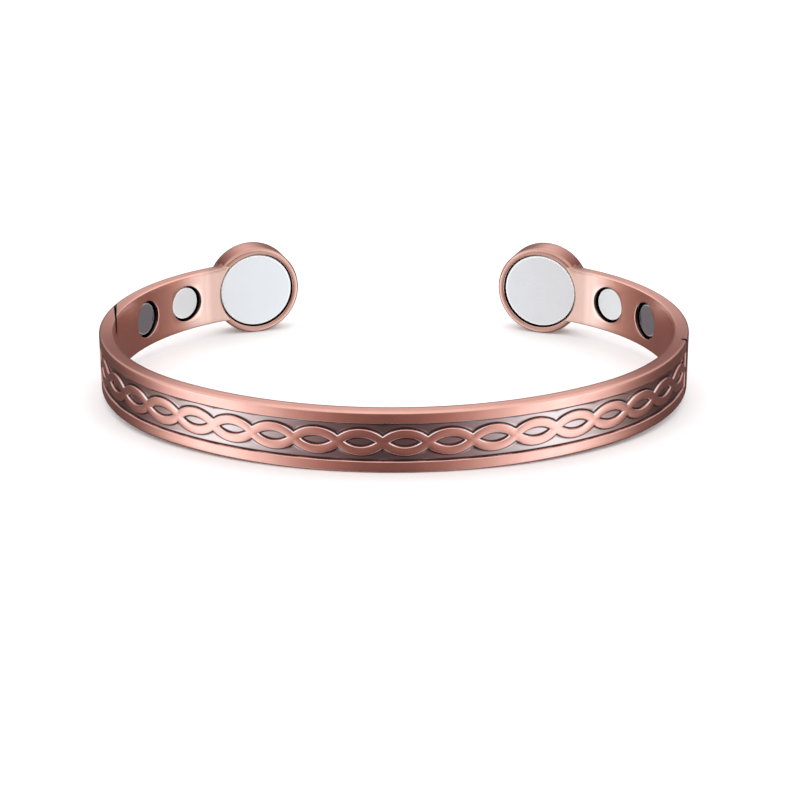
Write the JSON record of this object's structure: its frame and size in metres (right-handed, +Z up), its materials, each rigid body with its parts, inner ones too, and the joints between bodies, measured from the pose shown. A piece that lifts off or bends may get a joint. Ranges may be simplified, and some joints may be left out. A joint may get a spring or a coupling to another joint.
{
  "type": "magnetic cuff bracelet",
  "caption": "Open oval cuff bracelet in antique copper, with a raised interlaced border on its front, a flat disc magnet in a round cup at each end and small magnets let into the inner face.",
  "frame": {"origin": "middle of the cuff's footprint as it lies on a surface, on that surface", "axes": "+Z up, -Y towards the ornamented front, +Y towards the opening between the cups, +X to the right seen from the front"},
  "size_m": [0.067, 0.0538, 0.0109],
  "materials": {
    "antique_copper": "satin brushed copper, dark patina in the sunk ground",
    "end_magnet": "smooth pale nickel plate",
    "small_magnet": "bright nickel plate"
  },
  "bodies": {
    "root": {"band": "antique_copper", "end_magnet_left": "end_magnet", "end_magnet_right": "end_magnet", "small_magnet_left_1": "small_magnet", "small_magnet_left_2": "small_magnet", "small_magnet_right_1": "small_magnet", "small_magnet_right_2": "small_magnet"}
  },
  "joints": []
}
